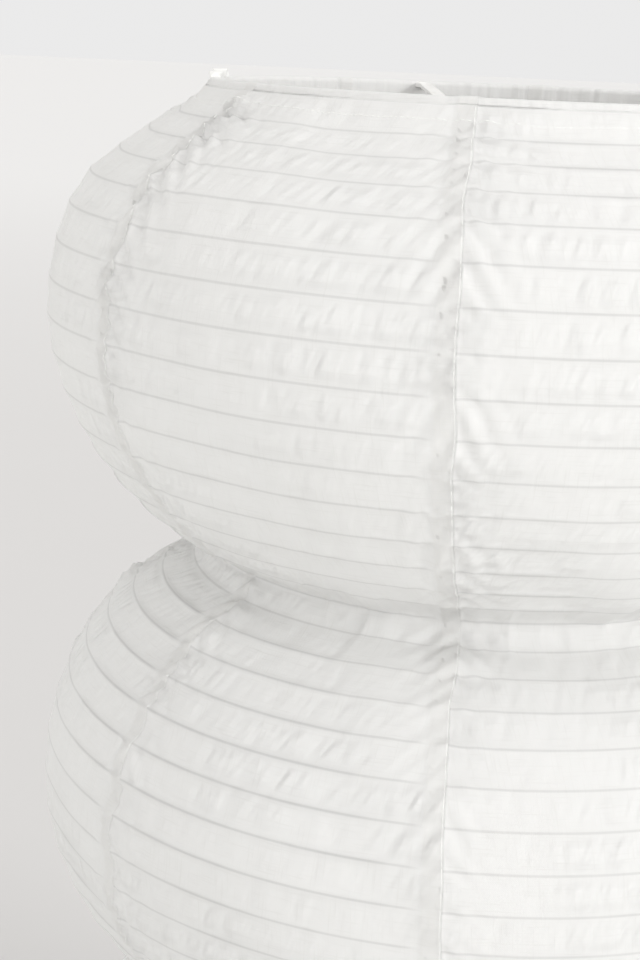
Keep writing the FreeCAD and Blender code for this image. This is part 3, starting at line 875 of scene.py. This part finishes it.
def pierced(outline, low, high, hole_r, x=0.0, y=0.0, sides=96):
    """A plate with a round hole: its section, a ring of four corners, carried round the hole.

    `outline` takes the angles and returns the outer edge's distance from the axis.
    """
    section = [(1, low), (1, high), (0, high), (0, low)]

    def edges(radius, height, angle):
        return np.where(radius > 0.5, outline(angle), hole_r)

    return lathe(section, x, y, sides, ring=True, shape=edges)


hub_bore_r = 5.3 * mm
hub = pierced(lambda a: flat_sided(a, 2 * hub_half, 4), hub_low[2], hub_high[2], hub_bore_r)
piece("spider_hub_plate", [hub], paint, "shade", ["spider_hub"], bevel=0.4 * mm)


def bead(x, z, long, thick):
    """A weld: half of a flattened ball, long across the arm."""
    p = np.linspace(0, math.pi, 9)[:, None]
    q = (np.arange(16) * 2 * math.pi / 16)[None, :]
    wide = 1 + 0.12 * np.sin(6 * q + 4 * p)
    points = np.stack([x + thick * np.sin(p) * np.cos(q) * wide, long * np.cos(p) + 0 * q,
                       z + thick * np.sin(p) * np.sin(q) * wide], axis=-1)
    return grid(points, close_cols=True)


beads = [bead(ring_face - 0.6 * mm, rim_z + 1.2 * mm, 4.6 * mm, 1.5 * mm),
         bead(hub_half, hub_z + 1.8 * mm, 4.6 * mm, 1.4 * mm)]
piece("spider_welds", [moved(one, turn) for one in beads for turn in quarter_turns], paint,
      "shade", [])

# %% [markdown]
# ## The foot
#
# Two flat bars stand on edge and cross in a half lap. Near its ends each bar has a notch in
# which the lantern's foot ring sits. Rubber pads keep the steel off the floor, and a plate
# with a welded tube is bolted on where the bars cross.

# %% Bars, pads and plate
bar_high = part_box("foot_bar_across")[1]
plate_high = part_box("base_plate")[1]
pad_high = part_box("foot_pads")[1]
pad_t = pad_high[2]
bar_top = bar_high[2]
bar_half_w = bar_high[1]
plate_t = 4 * mm
plate_top = bar_top + plate_t
notch_gap = 1.5 * mm            # free on either side of the hemmed foot ring
notch_inner = (foot_ring_r - ring_wire_r) * to_corner - notch_gap
notch_outer = foot_ring_r + 3 * mm + notch_gap
seat_z = foot_z - hem_r - 0.3 * mm
lip_z = foot_z - 0.6 * mm
bar_mid = (pad_t + bar_top) / 2


def bar_outline(lap_from_top):
    """Side view of a foot bar, with half its height cut away in the middle."""
    end = bar_high[0]
    chamfer = bar_half_w
    over = [(notch_inner, bar_top), (notch_inner, seat_z), (notch_outer, seat_z),
            (notch_outer, lip_z), (end, lip_z), (end, pad_t + chamfer), (end - chamfer, pad_t)]
    lap = [(bar_half_w, bar_mid), (-bar_half_w, bar_mid)]
    left = [(-x, z) for x, z in reversed(over)]
    if lap_from_top:
        return over + left + [(-bar_half_w, bar_top), lap[1], lap[0], (bar_half_w, bar_top)]
    return over + [(bar_half_w, pad_t), lap[0], lap[1], (-bar_half_w, pad_t)] + left


for name, node, cut_top, turn in (("bar_across", "foot_bar_across", True, 0),
                                  ("bar_along", "foot_bar_along", False, 1)):
    outline = [(x, -bar_half_w, z) for x, z in bar_outline(cut_top)]
    bar = moved(slab(outline, (0, 2 * bar_half_w, 0)), quarter_turns[turn])
    piece(name, [bar], paint, "stand", [node], bevel=0.5 * mm)

pad_l, pad_half_w = 26 * mm, 6 * mm
pad_end = pad_high[0]
pad_outline = [(pad_end - pad_l, -pad_half_w, 0), (pad_end, -pad_half_w, 0),
               (pad_end, pad_half_w, 0), (pad_end - pad_l, pad_half_w, 0)]
pad = slab(soften(pad_outline, 4 * mm, steps=5), (0, 0, pad_t))
piece("rubber_pads", [moved(pad, turn) for turn in quarter_turns], rubber, "stand",
      ["foot_pads"], bevel=0.6 * mm)

plate_half = plate_high[0]
plate_cut = 14 * mm
inner = plate_half - plate_cut
corners = [(plate_half, -inner), (plate_half, inner), (inner, plate_half), (-inner, plate_half),
           (-plate_half, inner), (-plate_half, -inner), (-inner, -plate_half),
           (inner, -plate_half)]
plate = slab(soften([(x, y, bar_top) for x, y in corners], 2 * mm), (0, 0, plate_top - bar_top))
socket_z = plate_high[2]
tube_r, tube_bore = 10.5 * mm, 8.1 * mm
tube = lathe(soften([(tube_bore, plate_top), (tube_r, plate_top), (tube_r, socket_z),
                     (tube_bore, socket_z)], 0.5 * mm), ring=True)
fillet = lathe([(tube_r - 0.5 * mm, plate_top - 0.5 * mm), (tube_r + 2.2 * mm, plate_top),
                (tube_r + 1.0 * mm, plate_top + 1.0 * mm),
                (tube_r - 0.5 * mm, plate_top + 2.2 * mm)], ring=True)
piece("base_plate_and_socket", [plate, tube, fillet], paint, "stand",
      ["base_plate"], bevel=0.5 * mm)

# %% [markdown]
# ## Screws, nuts and the cable inlet
#
# A bolt head is a hexagon whose top corners are turned off to a circle. That is one turned
# form whose radius follows the hexagon, with the last rows held inside a circle.

# %% Fasteners
def hexagon(across, top_z):
    """Radii of a hexagon, chamfered near its top: never outside a cone that narrows upwards."""
    def shape(radius, height, angle):
        cone = across / 2 * 1.02 + np.maximum(0, top_z - height) * 1.7
        flat_r = np.minimum(flat_sided(angle, across, 6), cone)
        return np.where(radius > 0.5, flat_r, radius)
    return shape


def hex_head(across, low, high, x, y):
    """A bolt's head; radius 1 in the outline stands for the hexagon."""
    rows = [(0, low), (1, low), (1, high - 0.9 * mm), (1, high - 0.4 * mm), (1, high), (0, high)]
    return lathe(rows, x, y, sides=96, shape=hexagon(across, high))


def hex_nut(across, low, high, bore, x, y):
    rows = [(bore, low), (1, low), (1, high - 0.8 * mm), (1, high), (bore, high)]
    return lathe(rows, x, y, sides=96, ring=True, shape=hexagon(across, high))


bolt_low, bolt_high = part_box("base_bolts")
bolt_at, bolt_head_w, bolt_r = 28 * mm, 7 * mm, 2 * mm
head = hex_head(bolt_head_w, plate_top, bolt_high[2], bolt_at, 0)
shank = lathe([(0, bolt_low[2]), (bolt_r, bolt_low[2]), (bolt_r, plate_top), (0, plate_top)],
              bolt_at, 0, sides=32)
piece("hex_bolts", [moved(part, turn) for part in (head, shank) for turn in quarter_turns],
      zinc, "stand", ["base_bolts"])

inlet_low, inlet_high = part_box("cable_inlet")
inlet_x = (inlet_low[0] + inlet_high[0]) / 2
inlet_y = (inlet_low[1] + inlet_high[1]) / 2
inlet_rows = [(3.5 * mm, inlet_low[2]), (4.5 * mm, inlet_low[2]), (4.5 * mm, plate_top),
              (1, plate_top), (1, inlet_high[2] - 2 * mm), (5.6 * mm, inlet_high[2] - 2 * mm),
              (5.2 * mm, inlet_high[2]), (3.9 * mm, inlet_high[2]), (3.5 * mm, plate_top)]
inlet = lathe(inlet_rows, inlet_x, inlet_y, sides=96, ring=True,
              shape=hexagon(14 * mm, inlet_high[2]))
piece("cord_bush", [inlet], plastic, "stand", ["cable_inlet"])


def grub(radius, length, wall, height, towards):
    """A headless screw, drawn upright with a round socket in its end, then laid along Y."""
    rows = [(0, 0), (radius * 0.7, 0), (radius, radius * 0.3), (radius, length - 0.3 * mm),
            (radius - 0.3 * mm, length), (radius * 0.5, length), (radius * 0.5, length - 1.2 * mm),
            (0, length - 1.2 * mm)]
    lay = Matrix.Rotation(-math.pi / 2 * towards, 4, "X")
    return moved(lathe(rows, sides=32), Matrix.Translation((0, wall, height)) @ lay)


def grub_from_box(low, high, towards):
    """Its size and place from the CAD's box of the same screw."""
    wall = low[1] if towards > 0 else high[1]
    return grub((high[0] - low[0]) / 2, high[1] - low[1], wall, (low[2] + high[2]) / 2, towards)


piece("socket_screw", [grub_from_box(*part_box("pole_screw"), -1)], zinc, "stand",
      ["pole_screw"])

# %% [markdown]
# ## The pole
#
# Three tubes plug into each other: each has a thinner spigot at its top. The last one ends in
# a turned cap with a stud, whose thread is drawn as plain rings. The joints show as fine lines
# because every edge is rounded.

# %% Tubes and cap
pole_r, bore_r, spigot_r = 8 * mm, 7 * mm, 6.9 * mm
spigot_len, spigot_wall = 22 * mm, 1 * mm
pole_lows = [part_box("pole_" + name)[0][2] for name in ("lower", "middle", "upper")]
pole_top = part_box("pole_upper")[1][2]
pole_highs = pole_lows[1:] + [pole_top]
for name, low, high in zip(("lower", "middle", "upper"), pole_lows, pole_highs):
    rows = [(bore_r, low), (pole_r, low), (pole_r, high)]
    if high < pole_top:
        bore = spigot_r - spigot_wall
        rows += [(spigot_r, high), (spigot_r, high + spigot_len), (bore, high + spigot_len),
                 (bore, high - spigot_len), (bore_r, high - spigot_len)]
    else:
        rows += [(bore_r, high)]
    piece("pole_tube_" + name, [lathe(soften(rows, 0.35 * mm), ring=True)], paint, "stand",
          ["pole_" + name])

cap_low, cap_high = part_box("pole_cap")
shoulder = hub_low[2]
stud_r = 5 * mm
thread_step = 1.0 * mm
stud_z = np.arange(shoulder + 4.5 * mm, cap_high[2] - 1 * mm, thread_step / 2)
stud_rows = [(stud_r - (0.3 * mm if i % 2 else 0), z) for i, z in enumerate(stud_z)]
cap_rows = [(0, cap_low[2]), (spigot_r, cap_low[2]), (spigot_r, pole_top), (pole_r, pole_top),
            (pole_r, shoulder), (stud_r, shoulder)] + stud_rows
cap_rows += [(stud_r - 1 * mm, cap_high[2]), (0, cap_high[2])]
piece("pole_cap_and_stud", [lathe(soften(cap_rows, 0.3 * mm, closed=False))], paint, "stand",
      ["pole_cap"])

# %% [markdown]
# ## The finial
#
# A thumb nut with twelve soft lobes, so that fingers can turn it. Its radius is that of a
# circle plus a small wave, and the wave fades towards the rounded top.

# %% The thumb nut
nut_low, nut_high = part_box("finial")
nut_r = 11.9 * mm
nut_bore = 5.15 * mm


def lobes(radius, height, angle):
    """r + wave * cos(12 a), where the wave only touches the outer wall."""
    wave = 0.45 * mm * smooth((radius - 9 * mm) / (2 * mm))
    return radius + wave * np.cos(12 * angle)


nut_rows = [(nut_bore, nut_low[2]), (nut_r, nut_low[2]), (nut_r, nut_high[2]),
            (nut_bore, nut_high[2])]
finial_shell = lathe(soften(nut_rows, 2.2 * mm, steps=6), sides=144, ring=True, shape=lobes)
piece("thumb_nut", [finial_shell], paint, "finial", ["finial"])

# %% [markdown]
# ## Brackets, lampholders and bulbs
#
# A bracket is a collar on the pole with a flat arm. The holder's nipple goes down through the
# arm, and a nut under the arm holds it. The holder has a waist, a fluted grip and a rim; the
# bulb's cap has a screw thread, a helix: its radius depends on the height plus the angle.

# %% Brackets
arm_t, arm_reach, collar_w, collar_bore_r = 3 * mm, 58 * mm, 24 * mm, 8.1 * mm


def bracket(name, side):
    low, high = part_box("bracket_" + name)
    reach = side * arm_reach
    half_w = 13 * mm
    turn = np.radians(np.linspace(-90, 90, 25))
    end = [(reach + side * half_w * math.cos(a), half_w * math.sin(a), low[2]) for a in turn]
    arm = slab([(0, -half_w, low[2])] + end + [(0, half_w, low[2])], (0, 0, arm_t))
    collar = pierced(lambda a: flat_sided(a, collar_w, 4), low[2], high[2], collar_bore_r)
    piece("bracket_arm_" + name, [arm, collar], paint, "stand",
          ["bracket_" + name], bevel=0.5 * mm)
    return low[2], reach


holder_r, socket_r = 20 * mm, 13.6 * mm
foot_r, nipple_r = 14 * mm, 5 * mm
holder_h, socket_depth = 44 * mm, 27 * mm


def flutes(radius, height, angle):
    """Small flutes round the holder's grip: a wave of 40 on the widest part only."""
    wave = 0.35 * mm * smooth((radius - 20.05 * mm) / (0.2 * mm))
    return radius + wave * np.cos(40 * angle)


def holder(x, seat):
    """Side view of the holder, from its nipple up the outside and down into the socket."""
    nipple = seat - 6.5 * mm
    top = seat + holder_h
    rows = [(0, nipple), (nipple_r, nipple), (nipple_r, seat), (foot_r - 1 * mm, seat),
            (foot_r, seat + 1.5 * mm), (foot_r + 1.2 * mm, seat + 6 * mm),
            (holder_r - 0.6 * mm, seat + 13 * mm), (holder_r, seat + 15 * mm),
            (holder_r + 0.4 * mm, seat + 16 * mm), (holder_r + 0.4 * mm, seat + 25 * mm),
            (holder_r, seat + 26 * mm), (holder_r - 0.8 * mm, seat + 27 * mm),
            (holder_r - 0.8 * mm, seat + 38 * mm), (holder_r, seat + 39 * mm), (holder_r, top),
            (socket_r, top), (socket_r, top - socket_depth), (0, top - socket_depth)]
    return lathe(soften(rows, 0.7 * mm, closed=False), x, sides=160, shape=flutes)


# %% Bulbs
cap_r, cap_pitch, thread_depth = 13.2 * mm, 3.6 * mm, 0.9 * mm


def cap_shell(x, low, high):
    """The screw cap: contact, insulator cone and threaded shell, all in the cap's one finish.

    On the shell the radius is r - depth (1 - cos(2 pi (z / pitch - a / 2 pi))) / 2.
    """
    shell_low = low + 6.5 * mm

    def thread_at(radius, height, angle):
        wave = (1 - np.cos(2 * math.pi * (height - shell_low) / cap_pitch - angle)) / 2
        on = smooth((height - shell_low) / (1.5 * mm)) * smooth((high - height) / (3 * mm))
        return radius - thread_depth * wave * on * (radius > 12 * mm)

    shell_z = np.linspace(shell_low, high, 60)
    rows = [(0, low), (4 * mm, low), (4.5 * mm, low + 0.5 * mm), (4.5 * mm, low + 1.5 * mm),
            (6 * mm, low + 2.2 * mm), (cap_r - 0.6 * mm, low + 5.8 * mm)]
    rows += [(cap_r, z) for z in shell_z] + [(0, high)]
    return lathe(rows, x, sides=96, shape=thread_at)


def glass_shell(x, low, high):
    """The bulb: a neck that swells into a ball.

    Up to the ball's shoulder the radius goes smoothly from the neck's to the ball's. From
    there on it is the ball's own: the square root of R^2 - (z - centre)^2.
    """
    ball, neck = 30 * mm, 15.5 * mm
    centre = high - ball
    join = centre - 12 * mm
    join_r = math.sqrt(ball ** 2 - (centre - join) ** 2)
    z = np.linspace(low, join, 24)
    t = (z - low) / (join - low)
    swell = np.stack([neck + (join_r - neck) * t ** 2 * (1.6 - 0.6 * t), z], axis=-1)
    a = np.linspace(math.asin((join - centre) / ball), math.pi / 2, 32)[1:]
    dome = np.stack([ball * np.cos(a), centre + ball * np.sin(a)], axis=-1)
    dome[-1, 0] = 0
    return lathe(np.concatenate([[[0, low]], swell, dome]), x, sides=96)


# %% Hang the lights
nut_w, nut_t, nut_hole_r = 15 * mm, 3.5 * mm, 5.2 * mm
nuts, screws = [], []
screw_low, screw_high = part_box("bracket_screws")
for name, side in (("lower", 1), ("upper", -1)):
    arm_z, x = bracket(name, side)
    piece("holder_body_" + name, [holder(x, arm_z + arm_t)], plastic, "stand",
          ["lampholder_" + name])
    nuts.append(hex_nut(nut_w, arm_z - nut_t, arm_z, nut_hole_r, x, 0))
    screws.append(grub(2 * mm, screw_high[1] - screw_low[1], screw_low[1], arm_z + 7 * mm, 1))
    metal_low, metal_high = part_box("bulb_cap_" + name)
    glass_low, glass_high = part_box("bulb_glass_" + name)
    piece("screw_cap_" + name, [cap_shell(x, metal_low[2], metal_high[2])], nickel,
          "bulb_" + name, ["bulb_cap_" + name])
    piece("frosted_bulb_" + name, [glass_shell(x, glass_low[2], glass_high[2])], glass,
          "bulb_" + name, ["bulb_glass_" + name])
piece("nipple_nuts", nuts, zinc, "stand", ["holder_nuts"])
piece("collar_screws", screws, zinc, "stand", ["bracket_screws"])

# %% [markdown]
# ## The stage
#
# The floor is a large pale disc. A soft sun is used as the key light, because it lights the
# whole floor evenly. It stands behind the camera, to the right. A weaker one comes almost level
# from behind the camera, and the pale sky fills the shadows. The floor grows paler with
# distance, to come near the sky's tone. What the camera sees of floor and sky has its own tone,
# set apart from the light that both give to the lamp.

# %% Floor, sky and key light
floor_finish, tree, shader = new_material("floor")
place = add(tree, "ShaderNodeTexCoord", {}).outputs["Object"]
tone = effect(tree, grain, place, 30.0)[1]
reach = add(tree, "ShaderNodeVectorMath", {0: place}, operation="LENGTH").outputs["Value"]
near_floor = blend(tree, tone, (0.68, 0.672, 0.668, 1), (0.67, 0.662, 0.658, 1))
pale = blend(tree, fade(tree, reach, 1.0, 12.0), near_floor, (0.79, 0.788, 0.788, 1))
seen = add(tree, "ShaderNodeLightPath", {}).outputs["Is Camera Ray"]
pale = blend(tree, seen, (0.86, 0.86, 0.85, 1), pale)
fill(tree, shader, {"Base Color": pale, "Roughness": 0.85, "Specular IOR Level": 0.1})

disc = bpy.data.meshes.new("floor")
floor_r, floor_sides = 60, 96
edge = np.arange(floor_sides) * 2 * math.pi / floor_sides
rim_points = np.stack([floor_r * np.cos(edge), floor_r * np.sin(edge), 0 * edge], axis=-1)
disc.from_pydata(rim_points.tolist(), [], [list(range(floor_sides))])
disc.materials.append(floor_finish)
floor = bpy.data.objects.new("floor", disc)
bpy.context.scene.collection.objects.link(floor)

sky = bpy.data.worlds.new("pale_sky")
sky.use_nodes = True
tree = sky.node_tree
seen = add(tree, "ShaderNodeLightPath", {}).outputs["Is Camera Ray"]
colour = blend(tree, seen, (0.965, 0.955, 0.94, 1), (0.83, 0.828, 0.828, 1))
tree.links.new(colour, tree.nodes["Background"].inputs["Color"])
bpy.context.scene.world = sky


def soft_sun(name, energy, spread, elevation, towards):
    """A sun whose light travels towards this polar angle, coming down at this elevation."""
    data = bpy.data.lights.new(name, "SUN")
    data.energy = energy
    data.angle = math.radians(spread)
    made = bpy.data.objects.new(name, data)
    made.rotation_euler = (math.radians(90 - elevation), 0, math.radians(towards - 90))
    bpy.context.scene.collection.objects.link(made)


soft_sun("key", energy=1.08, spread=22, elevation=18, towards=128)
soft_sun("fill", energy=0.35, spread=20, elevation=2, towards=60)

# %% [markdown]
# ## The camera
#
# Hoops, seams and outline of the photograph fix the camera: a metre above the floor, looking
# down at 13.6 degrees, tilted to one side by 2.6 degrees. Its direction d follows from the
# heading and the pitch. The columns of its matrix are its right, its up and -d.

# %% Set up the camera
heading, pitch, roll = (math.radians(a) for a in (75.2, 13.63, 2.62))
level_right = np.array([math.sin(heading), -math.cos(heading), 0])
view = np.array([math.cos(heading) * math.cos(pitch), math.sin(heading) * math.cos(pitch),
                 -math.sin(pitch)])
level_up = np.cross(level_right, view)
right = level_right * math.cos(roll) + level_up * math.sin(roll)
up = -level_right * math.sin(roll) + level_up * math.cos(roll)
lens = bpy.data.cameras.new("camera")
lens.sensor_fit = "VERTICAL"
lens.sensor_height = 36
lens.lens = 68.4
camera_place = (-0.424, -1.165, 0.994)
camera = bpy.data.objects.new("camera", lens)
axes = np.stack([right, up, -view, camera_place], axis=1)
camera.matrix_world = Matrix(axes.tolist() + [[0, 0, 0, 1]])
bpy.context.scene.collection.objects.link(camera)
bpy.context.scene.camera = camera
bpy.context.scene.view_settings.view_transform = "Standard"
